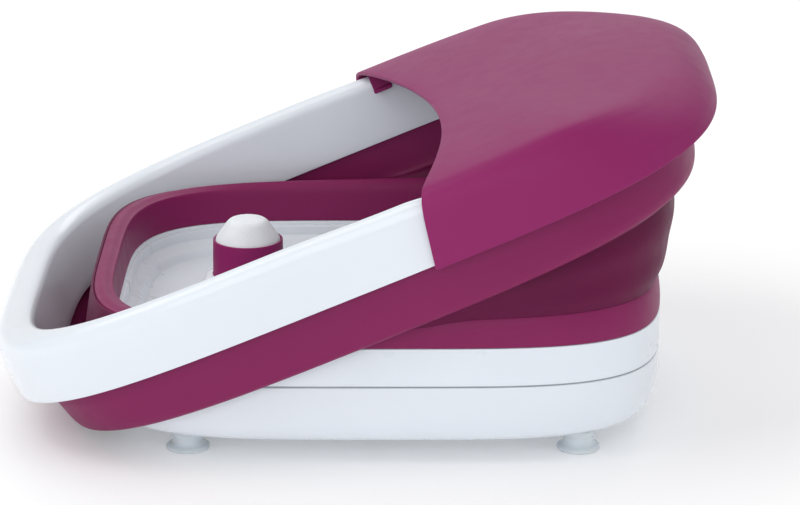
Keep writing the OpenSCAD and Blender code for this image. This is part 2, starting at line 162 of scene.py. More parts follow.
def curve_through(pts, per=6, closed=False):
    """Centripetal Catmull-Rom line through points of any dimension."""
    p = [np.array(q, float) for q in pts]
    n = len(p)
    if not closed:
        p = [2 * p[0] - p[1]] + p + [2 * p[-1] - p[-2]]
        spans = range(1, n)
    else:
        spans = range(n)
    out = []
    for i in spans:
        if closed:
            a, b, c, d = (p[(i + k) % n] for k in (-1, 0, 1, 2))
        else:
            a, b, c, d = p[i - 1], p[i], p[i + 1], p[i + 2]
        t0 = 0.0
        t1 = t0 + max(1e-6, np.linalg.norm(b - a)) ** 0.5
        t2 = t1 + max(1e-6, np.linalg.norm(c - b)) ** 0.5
        t3 = t2 + max(1e-6, np.linalg.norm(d - c)) ** 0.5
        for j in range(per):
            t = t1 + (t2 - t1) * j / per
            a1 = (t1 - t) / (t1 - t0) * a + (t - t0) / (t1 - t0) * b
            a2 = (t2 - t) / (t2 - t1) * b + (t - t1) / (t2 - t1) * c
            a3 = (t3 - t) / (t3 - t2) * c + (t - t2) / (t3 - t2) * d
            b1 = (t2 - t) / (t2 - t0) * a1 + (t - t0) / (t2 - t0) * a2
            b2 = (t3 - t) / (t3 - t1) * a2 + (t - t1) / (t3 - t1) * a3
            out.append((t2 - t) / (t2 - t1) * b1 + (t - t1) / (t2 - t1) * b2)
    if not closed:
        out.append(p[-2])
    return [tuple(q) for q in out]


def new_object(name, verts, faces, smooth_shade=True):
    me = bpy.data.meshes.new(name)
    me.from_pydata([tuple(v) for v in verts], [], faces)
    me.update()
    bm = bmesh.new()
    bm.from_mesh(me)
    bmesh.ops.remove_doubles(bm, verts=bm.verts, dist=1e-7)
    bmesh.ops.recalc_face_normals(bm, faces=bm.faces)
    bm.to_mesh(me)
    bm.free()
    if smooth_shade:
        me.polygons.foreach_set("use_smooth", [True] * len(me.polygons))
    ob = bpy.data.objects.new(name, me)
    bpy.context.scene.collection.objects.link(ob)
    return ob


def ring_piece(name, rows):
    """Closed ring: each row is an (n, 3) array round the outline, rows closed round the section."""
    rows = np.array(rows)
    m, n = rows.shape[:2]
    faces = []
    for i in range(m):
        k = (i + 1) % m
        for j in range(n):
            l = (j + 1) % n
            faces.append((i * n + j, i * n + l, k * n + l, k * n + j))
    return new_object(name, rows.reshape(-1, 3), faces)


def bowl_piece(name, rows):
    """Closed bowl: rows from the middle of the underside to the middle of the top."""
    rows = np.array(rows)
    m, n = rows.shape[:2]
    verts = list(rows.reshape(-1, 3))
    faces = []
    for i in range(m - 1):
        for j in range(n):
            l = (j + 1) % n
            faces.append((i * n + j, i * n + l, (i + 1) * n + l, (i + 1) * n + j))
    for row in (0, m - 1):
        verts.append(rows[row].mean(0))
        c = len(verts) - 1
        for j in range(n):
            faces.append((row * n + j, row * n + (j + 1) % n, c))
    return new_object(name, verts, faces)


def join(name, obs):
    """Several mesh objects as one piece."""
    bm = bmesh.new()
    for o in obs:
        bm.from_mesh(o.data)
    me = bpy.data.meshes.new(name)
    bm.to_mesh(me)
    bm.free()
    me.polygons.foreach_set("use_smooth", [True] * len(me.polygons))
    for o in obs:
        bpy.data.objects.remove(o)
    ob = bpy.data.objects.new(name, me)
    bpy.context.scene.collection.objects.link(ob)
    return ob


def lathe(name, profile, centre, axis="z", n=96, bump=None):
    """Turned solid: profile is (radius, height) from the middle of one end to the middle of the other.
    axis is the direction that height runs along; centre is in base millimetres."""
    a = ring_angles(n)
    rows = []
    for r, h in profile:
        u, v = r * np.cos(a), r * np.sin(a)
        hh = np.full(n, float(h))
        if bump is not None:
            u, v, hh = bump(u, v, hh)
        if axis == "z":
            rows.append(put(centre[0] + u, centre[1] + v, centre[2] + hh))
        elif axis == "y":
            rows.append(put(centre[0] + u, centre[1] + hh, centre[2] + v))
        else:
            rows.append(put(centre[0] + hh, centre[1] + u, centre[2] + v))
    rows = np.array(rows)
    m = len(rows)
    verts, faces = list(rows.reshape(-1, 3)), []
    for i in range(m - 1):
        for j in range(n):
            l = (j + 1) % n
            faces.append((i * n + j, i * n + l, (i + 1) * n + l, (i + 1) * n + j))
    return new_object(name, verts, faces)


# ------------------------------------------------------------------ materials
def material(
    name,
    color,
    rough,
    *,
    spec=0.5,
    metallic=0.0,
    coat=0.0,
    coat_rough=0.08,
    sss=0.0,
    sss_radius=(0.004, 0.004, 0.005),
    sheen=0.0,
    trans=0.0,
    ior=1.48,
    tint=(0.02, 9.0),
    rough_var=(0.05, 40.0),
    grain=(0.0, 4000.0, 0.00002),
    wave=(0.0, 60.0, 0.0002),
    edge_highlight=None,
    speck=None,
):
    """Node material: colour with slow variation, roughness with its own, and fine surface grain as bump.
    Sizes are per metre, so they hold on every piece."""
    m = bpy.data.materials.new(name)
    m.use_nodes = True
    nt = m.node_tree
    nt.nodes.clear()
    out = nt.nodes.new("ShaderNodeOutputMaterial")
    bs = nt.nodes.new("ShaderNodeBsdfPrincipled")
    nt.links.new(bs.outputs["BSDF"], out.inputs["Surface"])
    co = nt.nodes.new("ShaderNodeTexCoord")

    def tex(scale, detail=2.0, rough_=0.5):
        t = nt.nodes.new("ShaderNodeTexNoise")
        t.inputs["Scale"].default_value = scale
        t.inputs["Detail"].default_value = detail
        t.inputs["Roughness"].default_value = rough_
        nt.links.new(co.outputs["Object"], t.inputs["Vector"])
        return t

    amount, scale = tint
    t = tex(scale, 3.0)
    ramp = nt.nodes.new("ShaderNodeValToRGB")
    lo = [max(0.0, c * (1 - amount * 2)) for c in color]
    hi = [min(1.0, c * (1 + amount)) for c in color]
    ramp.color_ramp.elements[0].position = 0.3
    ramp.color_ramp.elements[0].color = (*lo, 1)
    ramp.color_ramp.elements[1].position = 0.7
    ramp.color_ramp.elements[1].color = (*hi, 1)
    nt.links.new(t.outputs["Fac"], ramp.inputs["Fac"])
    col = ramp.outputs["Color"]
    if speck is not None:
        s_amount, s_scale, s_color = speck
        st = tex(s_scale, 4.0, 0.7)
        sr = nt.nodes.new("ShaderNodeValToRGB")
        sr.color_ramp.elements[0].position = 0.58
        sr.color_ramp.elements[0].color = (0, 0, 0, 1)
        sr.color_ramp.elements[1].position = 0.72
        sr.color_ramp.elements[1].color = (s_amount, s_amount, s_amount, 1)
        nt.links.new(st.outputs["Fac"], sr.inputs["Fac"])
        mx = nt.nodes.new("ShaderNodeMix")
        mx.data_type = "RGBA"
        nt.links.new(sr.outputs["Color"], mx.inputs[0])
        nt.links.new(col, mx.inputs[6])
        mx.inputs[7].default_value = (*s_color, 1)
        col = mx.outputs[2]
    # painted highlight: convex edges, found by pointiness, are lightened towards a brighter tint where light would
    # glint on rounded edges
    if edge_highlight is not None:
        highlight_amount, highlight_color = edge_highlight
        geo = nt.nodes.new("ShaderNodeNewGeometry")
        highlight_ramp = nt.nodes.new("ShaderNodeValToRGB")
        highlight_ramp.color_ramp.elements[0].position = 0.53
        highlight_ramp.color_ramp.elements[0].color = (0, 0, 0, 1)
        highlight_ramp.color_ramp.elements[1].position = 0.62
        highlight_ramp.color_ramp.elements[1].color = (highlight_amount, highlight_amount, highlight_amount, 1)
        nt.links.new(geo.outputs["Pointiness"], highlight_ramp.inputs["Fac"])
        mx = nt.nodes.new("ShaderNodeMix")
        mx.data_type = "RGBA"
        nt.links.new(highlight_ramp.outputs["Color"], mx.inputs[0])
        nt.links.new(col, mx.inputs[6])
        mx.inputs[7].default_value = (*highlight_color, 1)
        col = mx.outputs[2]
    nt.links.new(col, bs.inputs["Base Color"])
    rv, rs = rough_var
    rt = tex(rs, 3.0)
    mr = nt.nodes.new("ShaderNodeMapRange")
    mr.inputs["From Min"].default_value = 0.3
    mr.inputs["From Max"].default_value = 0.7
    mr.inputs["To Min"].default_value = max(0.02, rough - rv)
    mr.inputs["To Max"].default_value = min(1.0, rough + rv)
    nt.links.new(rt.outputs["Fac"], mr.inputs["Value"])
    nt.links.new(mr.outputs["Result"], bs.inputs["Roughness"])
    normal = None
    for (strength, scale_, dist), det in ((wave, 1.0), (grain, 3.0)):
        if strength <= 0:
            continue
        bt = tex(scale_, det, 0.55)
        bp = nt.nodes.new("ShaderNodeBump")
        bp.inputs["Strength"].default_value = strength
        bp.inputs["Distance"].default_value = dist
        nt.links.new(bt.outputs["Fac"], bp.inputs["Height"])
        if normal is not None:
            nt.links.new(normal, bp.inputs["Normal"])
        normal = bp.outputs["Normal"]
    if normal is not None:
        nt.links.new(normal, bs.inputs["Normal"])
    bs.inputs["Metallic"].default_value = metallic
    bs.inputs["IOR"].default_value = ior
    bs.inputs["Specular IOR Level"].default_value = spec
    bs.inputs["Coat Weight"].default_value = coat
    bs.inputs["Coat Roughness"].default_value = coat_rough
    bs.inputs["Subsurface Weight"].default_value = sss
    bs.inputs["Subsurface Radius"].default_value = sss_radius
    bs.inputs["Subsurface Scale"].default_value = 1.0
    bs.inputs["Sheen Weight"].default_value = sheen
    bs.inputs["Transmission Weight"].default_value = trans
    m.diffuse_color = (*color, 1)
    return m


# the edge colours given to the white, berry and soft berry finishes are painted highlights on convex edges
WHITE = material(
    "white_gloss", (0.79, 0.83, 0.885), 0.2, spec=0.5, coat=0.3, coat_rough=0.06,
    sss=0.06, tint=(0.008, 14.0), rough_var=(0.03, 30.0),
    grain=(0.05, 2600.0, 0.00004), wave=(0.05, 45.0, 0.0004), edge_highlight=(0.2, (0.88, 0.92, 0.96)),
)
WHITE_TUB = material(
    "white_tub", (0.80, 0.845, 0.90), 0.3, spec=0.45, coat=0.1, coat_rough=0.15,
    sss=0.06, tint=(0.008, 14.0), rough_var=(0.04, 30.0),
    grain=(0.10, 2200.0, 0.00005), wave=(0.04, 45.0, 0.0004),
)
BERRY = material(
    "berry_satin", (0.262, 0.016, 0.118), 0.46, spec=0.2, coat=0.0, coat_rough=0.35,
    sss=0.02, tint=(0.015, 8.0), rough_var=(0.025, 90.0),
    grain=(0.12, 2600.0, 0.00005), edge_highlight=(0.18, (0.40, 0.07, 0.20)),
)
BERRY_SOFT = material(
    "berry_soft", (0.228, 0.013, 0.093), 0.48, spec=0.24, sheen=0.0,
    sss=0.02, tint=(0.02, 9.0), rough_var=(0.04, 90.0),
    grain=(0.2, 1900.0, 0.00006), edge_highlight=(0.2, (0.33, 0.05, 0.16)),
)
# painted shade: the web is the same berry as the bands, darkened to about half to stand in for the shade of its recess
# under the upper band
BERRY_WEB_SHADED = material(
    "berry_web_painted_shade", (0.120, 0.004, 0.046), 0.52, spec=0.2, sheen=0.0,
    tint=(0.04, 12.0), rough_var=(0.05, 80.0),
    grain=(0.28, 1700.0, 0.00008), wave=(0.10, 40.0, 0.0006),
)
PUMICE = material(
    "pumice_white", (0.86, 0.88, 0.91), 0.85, spec=0.25, tint=(0.03, 60.0),
    rough_var=(0.08, 200.0), grain=(0.7, 1500.0, 0.0003), wave=(0.25, 600.0, 0.0003),
    speck=(0.35, 1100.0, (0.55, 0.57, 0.60)),
)
PAD = material(
    "pad_clear", (0.84, 0.90, 0.95), 0.12, spec=0.5, coat=0.5, coat_rough=0.03,
    sss=0.35, sss_radius=(0.003, 0.004, 0.006), trans=0.25, tint=(0.02, 40.0),
    rough_var=(0.03, 60.0), grain=(0.05, 1500.0, 0.00005),
)
SEAL = material(
    "seal_grey", (0.36, 0.38, 0.41), 0.6, spec=0.3, tint=(0.05, 60.0), rough_var=(0.08, 90.0),
    grain=(0.3, 2500.0, 0.00005),
)
STEEL = material(
    "zinc_steel", (0.60, 0.61, 0.63), 0.32, metallic=1.0, tint=(0.06, 120.0),
    rough_var=(0.1, 200.0), grain=(0.2, 3000.0, 0.00003),
)
MOTOR = material(
    "motor_can", (0.55, 0.56, 0.58), 0.38, metallic=1.0, tint=(0.05, 60.0),
    rough_var=(0.1, 120.0), grain=(0.2, 2500.0, 0.00004),
)
ALU = material(
    "sheet_aluminium", (0.74, 0.75, 0.76), 0.35, metallic=1.0, tint=(0.03, 40.0),
    rough_var=(0.1, 90.0), grain=(0.25, 2500.0, 0.00004),
)
TUBE = material(
    "heat_tinted", (0.42, 0.34, 0.28), 0.4, metallic=1.0, tint=(0.15, 60.0),
    rough_var=(0.1, 90.0), grain=(0.2, 2500.0, 0.00004),
)
BRASS = material(
    "turned_brass", (0.66, 0.50, 0.24), 0.3, metallic=1.0, tint=(0.05, 90.0),
    rough_var=(0.08, 160.0), grain=(0.2, 3000.0, 0.00003),
)
BLACK = material(
    "black_plastic", (0.028, 0.028, 0.031), 0.42, spec=0.4, tint=(0.1, 60.0),
    rough_var=(0.08, 90.0), grain=(0.3, 2300.0, 0.00006),
)
RUBBER = material(
    "black_rubber", (0.020, 0.020, 0.021), 0.68, spec=0.3, sheen=0.1, tint=(0.1, 60.0),
    rough_var=(0.08, 90.0), grain=(0.4, 2000.0, 0.00007),
)
BOARD = material(
    "board_green", (0.02, 0.13, 0.055), 0.35, spec=0.5, coat=0.4, tint=(0.12, 500.0),
    rough_var=(0.08, 300.0), grain=(0.4, 900.0, 0.0001), speck=(0.6, 420.0, (0.08, 0.24, 0.10)),
)
LIGHT = material(
    "light_moulding", (0.78, 0.79, 0.81), 0.45, spec=0.4, sss=0.05, tint=(0.02, 60.0),
    rough_var=(0.06, 90.0), grain=(0.25, 2200.0, 0.00005),
)
WIRE = material(
    "wire_red", (0.45, 0.04, 0.03), 0.4, spec=0.45, tint=(0.08, 200.0),
    rough_var=(0.06, 200.0), grain=(0.2, 2500.0, 0.00004),
)


def finish_piece(ob, mat, body, replaces=()):
    ob.data.materials.clear()
    ob.data.materials.append(mat)
    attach(ob, body)
    if replaces:
        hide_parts(*replaces)
    return ob


# ------------------------------------------------------------------ base
def base_ring(d, z, dz=None):
    x, y = sup(BASE_A - d, BASE_A - d, BASE_B - d, BASE_N)
    zz = np.full(len(x), float(z))
    if dz is not None:
        zz = zz + dz(x, z)
    return put(x, y, zz)


def isl_ring(k, z, grow=0.0):
    """Outline of the island, scaled by k towards its middle, or grown by grow."""
    x, y = sup(79 + grow, 84 + grow, 31 + grow, 2.9)
    return put(x * k - 26, y * k, z)


def mix_ring(a, b, w):
    return a * (1 - w) + b * w


def tub():
    rows = []
    # underside, from the middle out
    for k in (0.0, 0.5, 0.9):
        rows.append(isl_ring(max(k, 0.02), 67.4, -6))
    for g, z in fillet([(-10, 67.4, 0), (-4.6, 67.4, 5), (-0.2, 42.4, 2), (2, 42.4, 0)], seg=4, step=9):
        rows.append(isl_ring(1.0, z, g))
    a, b = isl_ring(1.0, 42.4, 2), base_ring(24, 42.4)
    for w in (0.25, 0.5, 0.75):
        rows.append(mix_ring(a, b, w))
    under = [
        (24, 42.4, 0), (18.6, 42.4, 2), (18.4, 51.0, 2), (15.6, 52.2, 2), (15.4, 60.3, 1),
        (7.8, 60.4, 1), (7.8, 79.4, 1), (5.2, 79.4, 0.6), (5.2, 69.2, 0.6), (2.6, 69.2, 0.6), (2.6, 49.5, 0),
    ]
    for d, z in fillet(under, seg=3, step=9):
        rows.append(base_ring(d, z))
    # outside: skirt, collar and the neck under the soft band
    for d, z in fillet(
        [(2.4, 49.45, 0), (0.1, 49.45, 0.5), (0.0, 60, 0), (0.0, 71.65, 0.5), (2.35, 71.65, 0), (2.55, 71.7, 0), (2.6, 82.0, 0.4),
         (10.4, 82.0, 0.4), (10.4, 62.7, 0), (13.0, 62.55, 0)], seg=4, step=7
    ):
        rows.append(base_ring(d, z))
    # inside: wall, cove, ledge, step, floor
    inner = [
        (13.05, 62.5, 0), (13.4, 62.0, 0.3), (14.6, 54.5, 6), (22.0, 50.6, 5), (24.6, 45.4, 1.6), (31, 45.0, 3), (34, 45.0, 0),
    ]
    for d, z in fillet(inner, seg=7, step=5):
        rows.append(base_ring(d, z))
    a, b = base_ring(34, 45.0), isl_ring(1.0, 45.0, 10)
    for w in (0.2, 0.4, 0.6, 0.8):
        rows.append(mix_ring(a, b, w))
    for g, z in fillet([(10, 45.0, 0), (2.5, 45.0, 7), (-1.5, 70.0, 7), (-12, 70.0, 0)], seg=8, step=5):
        rows.append(isl_ring(1.0, z, g))
    for k in (0.8, 0.5, 0.2, 0.02):
        rows.append(isl_ring(k, 70.0, -12))
    ob = bowl_piece("tub_shell", rows)
    return finish_piece(ob, WHITE_TUB, "base", ("base_tub", "tub_floor", "tub_island"))


def bottom():
    prof = [(60, 16.4, 0), (18, 16.4, 3), (8.2, 20.6, 4), (3.4, 29, 6), (2.7, 48.55, 0)]
    rows = []
    a = base_ring(120, 16.4)
    for d in (140, 110, 80):
        rows.append(base_ring(d, 13.0))
    outer = curve_through(
        [(60, 13.0), (40, 12.85), (21, 12.6), (13.2, 13.2), (8.8, 14.9), (5.6, 17.4), (3.0, 21.6), (1.3, 27.0), (0.45, 33.6), (0.08, 41), (0.0, 46)],
        per=5,
    ) + fillet([(0.0, 46.6, 0), (0.0, 48.6, 0.5), (2.5, 48.6, 0)], seg=4)
    for d, z in outer:
        rows.append(base_ring(d, z))
    for d, z in reversed(fillet(prof, seg=5, step=8)):
        rows.append(base_ring(d, z))
    for d in (80, 110, 140):
        rows.append(base_ring(d, 16.4))
    ob = bowl_piece("lower_shell", rows)
    return finish_piece(ob, WHITE, "base", ("bottom_shell",))


def gasket():
    sec = fillet([(0.75, 48.62, 0.2), (0.75, 49.38, 0.2), (2.4, 49.38, 0.1), (2.4, 48.62, 0.1)], closed=True, seg=3)
    ob = ring_piece("seam_seal", [base_ring(d, z) for d, z in sec])
    return finish_piece(ob, SEAL, "base", ("tub_gasket",))


def feet():
    obs = []
    for i, (x, y) in enumerate([(-107.7, -108), (-107.7, 108), (115.6, -108), (115.6, 108)]):
        prof = fillet(
            [(0, 1.0, 0), (7.0, 1.0, 0.6), (8.6, 0.02, 0.4), (12.3, 0.02, 0.8), (12.7, 1.6, 0.9), (11.6, 2.7, 0.6), (9.9, 3.3, 1.0),
             (8.9, 4.8, 1.4), (8.6, 7.4, 1.6), (9.3, 9.2, 0.8), (9.3, 12.0, 0.5), (7.0, 12.45, 0.2), (0, 12.45, 0)],
            seg=5, step=3,
        )
        obs.append(lathe("foot%d" % i, prof, (x, y, 0), n=72))
    ob = join("foot_pads", obs)
    return finish_piece(ob, PAD, "base", ("suction_feet",))


def crest_dz(x, z):
    return 4.5 * x / BASE_A * smooth(z, 82.3, 88.5)


def lower_band():
    outer = curve_through([(0.0, 76.0), (0.25, 80), (0.85, 83.8), (2.3, 86.8), (4.5, 88.25), (6.6, 88.4), (8.8, 87.1), (10.5, 84.7), (11.4, 81.4), (11.9, 77.0)], per=5)
    sec = fillet([(2.45, 71.95, 0), (0.3, 71.95, 0.3), (0.0, 72.6, 0.5), (0.0, 75.5, 0)], seg=4)
    sec += outer
    sec += fillet([(12.0, 75.6, 0), (13.0, 62.9, 0.35), (10.65, 62.9, 0.2), (10.65, 82.25, 0.3), (2.45, 82.25, 0.3), (2.45, 72.4, 0)], seg=3, step=4)
    ob = ring_piece("band_lower", [base_ring(d, z, crest_dz) for d, z in sec])
    return finish_piece(ob, BERRY_SOFT, "base", ("bellows_lower_band",))


# ------------------------------------------------------------------ rim side
HEEL = [(-31, 190), (-29.5, 191.8), (-26, 193), (-20, 194.1), (-15, 194.8), (-8, 196.1), (0, 197.2), (5, 197.2)]
TOE = [(-31, 199.4), (-29.5, 201.8), (-26, 203.4), (-20, 204.5), (-15, 205.2), (-8, 206.0), (0, 206.4), (5, 206.4)]
SIDE = [(-31, 153.6), (-29.5, 155.8), (-26, 157), (-20, 157.2), (-15, 157.2), (-8, 157.1), (0, 156.9), (5, 156.9)]


def look(table, h):
    c = np.array(curve_through(table, per=8))
    return float(np.interp(h, c[:, 0], c[:, 1]))


def upper_band():
    def row(h, inset, drop=0.0):
        n = float(np.interp(h, [-31, -9, 5], [3.5, 4, 4]))
        x, y = sup2(look(HEEL, h) - inset, look(TOE, h) - inset, look(SIDE, h) - inset, n, 3.4)
        return put_rim(x, y, h - drop)

    rows = []
    for h in np.linspace(5, -24, 22):
        rows.append(row(h, 0))
    for h in (-25.2, -26.4, -27.4, -28.3, -29.1, -29.8, -30.3, -30.6):
        rows.append(row(h, 0))
    rows.append(row(-30.75, 0.7))
    rows.append(row(-30.6, 1.6))
    for h in (-29.6, -28, -26, -22, -17, -12, -7, -2, 2, 5):
        rows.append(row(h, 3.6))
    ob = ring_piece("band_upper", rows)
    return finish_piece(ob, BERRY_SOFT, "rim", ("bellows_upper_band",))


def web_low():
    """Where the web leaves the lower band: its outer shoulder at the heel, near the crest at the toe."""
    x0, _ = sup(BASE_A, BASE_A, BASE_B, BASE_N)
    t = smooth(x0, 0, 60)
    c, s = np.cos(PHI), np.sin(PHI)
    g = (np.abs(c) ** BASE_N + np.abs(s) ** BASE_N) ** (-1.0 / BASE_N)
    o = 0.45 - 3.35 * t
    x, y = (BASE_A + o) * c * g, (BASE_B + o) * s * g
    return x, y, 82.6 + (4.1 + 4.5 * x / BASE_A) * t


def rim_open():
    x, z = rot_xz(HINGE[0] - RIM_PX, HINGE[1] - RIM_PZ, -TH)
    return HINGE[0] - x, HINGE[1] - z


def web_line(w):
    """Middle of the soft web at share w of the way from the base (0) to the rim (1), as folded."""
    ox, oz = rim_open()
    ax, ay, az = web_low()
    x0 = ax
    bx, by = sup2(188.2, 198.3, 152.1, 3.55, 3.4)
    # round the toe it is tucked in under the foot of the upper band
    k = 1 - 0.07 * (1 - smooth(w, 0.84, 1)) * smooth(bx, 20, 120)
    bx, by = bx * k + ox, by * k
    bz = oz - 30.0
    # shallow folds, where the rim stands high above the base
    fold = 0.9 * smooth(x0, 60, 130) * math.sin(2 * math.pi * 2.0 * w) * (1 - w) * min(1, w * 8)
    k = 1 + fold / 160.0
    mx, my, mz = (ax + (bx - ax) * w) * k, (ay + (by - ay) * w) * k, az + (bz - az) * w
    a = TH * w
    qx, qz = rot_xz(mx - HINGE[0], mz - HINGE[1], a)
    return qx + HINGE[0], my, qz + HINGE[1] + 16 * w * (1 - w) * (1 - 0.5 * w)


def web():
    ws = [0, 0.01, 0.02, 0.03, 0.045, 0.06, 0.08] + list(np.linspace(0.1, 1, 46))
    mid = np.array([np.stack(web_line(w), -1) for w in ws])
    du = np.roll(mid, -1, 1) - np.roll(mid, 1, 1)
    dv = np.gradient(mid, axis=0)
    nrm = np.cross(du, dv)
    nrm /= np.linalg.norm(nrm, axis=-1, keepdims=True)
    rows, weight = [], []
    for i, w in enumerate(ws):
        rows.append(put(*(mid[i] + nrm[i] * 0.8).T))
        weight.append(w)
    for i in range(len(ws) - 1, -1, -1):
        rows.append(put(*(mid[i] - nrm[i] * 0.8).T))
        weight.append(ws[i])
    ob = ring_piece("web_soft", rows)
    n = rows[0].shape[0]
    want = np.repeat(np.array(weight, np.float32), n)
    # remove_doubles keeps every vertex here, so the order is the rows' own
    assert len(ob.data.vertices) == len(want)
    # the web gets the berry darkened as painted shade
    ob.data.materials.append(BERRY_WEB_SHADED)
    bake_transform(ob)
    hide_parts("bellows_web")
    return ob


def rim_low(x, h):
    drop = 1.5 * smooth(x, -30, 45) + 25 * smooth(x, 45, 160)
    return np.where(h > 1, h - drop * np.minimum(1, (h - 1) / 29), h)


def rim():
    outer = fillet([(1.3, 0.75, 0), (0.15, 0.9, 0.5), (0.0, 3.0, 0), (0.0, 24, 0)], seg=4, step=4)
    crest = curve_through(
        [(0.0, 27), (0.25, 31), (1.0, 34.6), (2.9, 38.1), (6, 39.9), (9.2, 39.3), (11.7, 37.0), (12.7, 33.4), (12.8, 29)], per=6
    )
    inner = fillet([(12.75, 26, 0), (12.55, 12, 0), (12.5, -2.9, 0.5), (11.35, -2.9, 0.4), (11.25, 2.0, 0), (10.6, 14, 0), (10.6, 30, 0)], seg=4, step=4)
    back = curve_through([(10.6, 32), (9.6, 35.2), (6.6, 37.2), (4.0, 35.9), (2.7, 32.5), (2.45, 28)], per=5)
    tail = fillet([(2.45, 26, 0), (2.45, 1.2, 0.5), (1.6, 0.75, 0)], seg=4, step=4)
    rows = []
    for d, h in outer + crest + inner + back + tail:
        x, y = sup2(212.5 - 1.9 * d, 219 - 1.62 * d, 163.3 - d, 4, 3.4)
        rows.append(put_rim(x, y, rim_low(x, np.full(len(x), float(h)))))
    ob = ring_piece("rim_shell", rows)
    return finish_piece(ob, WHITE, "rim", ("rim_frame",))


# ------------------------------------------------------------------ splash guard
GB, GT, GX0, GH, GW = 166.8, 226.5, 60.0, 48.3, 2.4
SIDE_SEC = [[0, 0], [0, 14], [0, 24], [0.4, 31], [1.6, 36.5], [4.2, 40.8], [8, 43], [16, 44.6], [32, 46.1], [60, 47.4], [105, 48.2], [GB, GH]]
TOE_SEC = [[0, 0], [0.8, 6.5], [2.7, 12.5], [5.3, 17.8], [8.6, 22.4], [13, 26.4], [19.4, 29.8], [29.6, 33.4], [46, 38], [68, 42.6], [105, 46.4], [GB, GH]]
SIDE_IN = [[GW, 0], [GW, 14], [GW, 24], [2.7, 30.2], [3.6, 34.8], [5.8, 38.6], [9, 40.7], [16.4, 42.2], [32.2, 43.7], [60, 45], [105, 45.8], [GB, 45.9]]
TOE_IN = [[GW, 0], [3.2, 6], [5, 11.6], [7.5, 16.5], [10.6, 20.6], [14.7, 24.3], [20.5, 27.5], [30.4, 31.1], [46.7, 35.7], [68.5, 40.3], [105.2, 44], [GB, 45.9]]
LEVEL_N = [3.35, 3.3, 3.05, 2.8, 2.6, 2.5, 2.5, 2.5, 2.5, 2.5, 2.5, 2.5]


def edge_x(y, h=40.0):
    return 67.9 - 0.204 * y - 0.00113 * y * y + 0.0000026 * y**3 - 7 * np.maximum(0, 1 - np.asarray(h) / 40)


def guard_grid(side, toe, per=7):
    side = np.array(curve_through(side, per=per))
    toe = np.array(curve_through(toe, per=per))
    lv = len(side) - 1
    i = np.arange(0, lv + 1)[:, None]
    j = np.arange(-lv, lv + 1)[None, :]
    r = np.maximum(i, np.abs(j)).astype(float)
    k = (lv - r).astype(int)
    rr = np.where(r == 0, 1, r)
    iu, ju = i / rr, j / rr
    n = np.interp(k / per, np.arange(len(LEVEL_N)), LEVEL_N)
    g = (np.abs(iu) ** n + np.abs(ju) ** n + (r == 0)) ** (-1 / n)
    ux, uy = iu * g, ju * g
    wt = smooth(np.abs(ux), 0.43, 1.0)
    d = side[k, 0] * (1 - wt) + toe[k, 0] * wt
    h = side[k, 1] * (1 - wt) + toe[k, 1] * wt
    x = GX0 + (GT - GX0) * (1 - d / GB) * ux
    y = (GB - d) * uy
    e = edge_x(y, h)
    return np.stack([e + (x - GX0) * (GT - e) / (GT - GX0), y, h], -1)


def guard():
    o, q = guard_grid(SIDE_SEC, TOE_SEC), guard_grid(SIDE_IN, TOE_IN)
    r, c = o.shape[:2]
    m = r * c
    verts = [v for v in o.reshape(-1, 3)] + [v for v in q.reshape(-1, 3)]
    faces = []
    for base_, flip in ((0, False), (m, True)):
        for i in range(r - 1):
            for j in range(c - 1):
                a = base_ + i * c + j
                f = (a, a + 1, a + c + 1, a + c)
                faces.append(f[::-1] if flip else f)
    # rounded edge: the two skins meet through a half-round strip
    loop = [(0, j) for j in range(c)] + [(i, c - 1) for i in range(1, r)] + [(r - 1, j) for j in range(c - 2, -1, -1)] + [(i, 0) for i in range(r - 2, 0, -1)]

    def inward(i, j):
        if i == 0 and 0 < j < c - 1:
            return 1, j
        if i == 0:
            return 1, j + (1 if j == 0 else -1)
        if j in (0, c - 1) and i < r - 1:
            return i, j + (1 if j == 0 else -1)
        if i == r - 1 and j in (0, c - 1):
            return i - 1, j + (1 if j == 0 else -1)
        return i - 1, j

    strips = []
    steps = 5
    for s in range(1, steps):
        a = math.pi * s / steps
        row = []
        for i, j in loop:
            p, w = o[i, j], q[i, j]
            k, l = inward(i, j)
            t = (p - o[k, l]) + (w - q[k, l])
            t = t / (np.linalg.norm(t) + 1e-9)
            mid, half = (p + w) / 2, (p - w) / 2
            row.append(mid + half * math.cos(a) + t * (np.linalg.norm(half) * 0.75 * math.sin(a)))
        strips.append(row)
    idx = [[i * c + j for i, j in loop]]
    for row in strips:
        start = len(verts)
        verts += row
        idx.append(list(range(start, start + len(row))))
    idx.append([m + i * c + j for i, j in loop])
    n = len(loop)
    for a, b in zip(idx, idx[1:]):
        for k in range(n):
            l = (k + 1) % n
            faces.append((a[k], b[k], b[l], a[l]))
    verts = np.array(verts)
    # the lower edge stays at or above the rim's own lower edge
    verts = put_rim(verts[:, 0], verts[:, 1], verts[:, 2])
    ob = new_object("guard_shell", verts, faces)
    return finish_piece(ob, BERRY, "guard", ("splash_guard",))


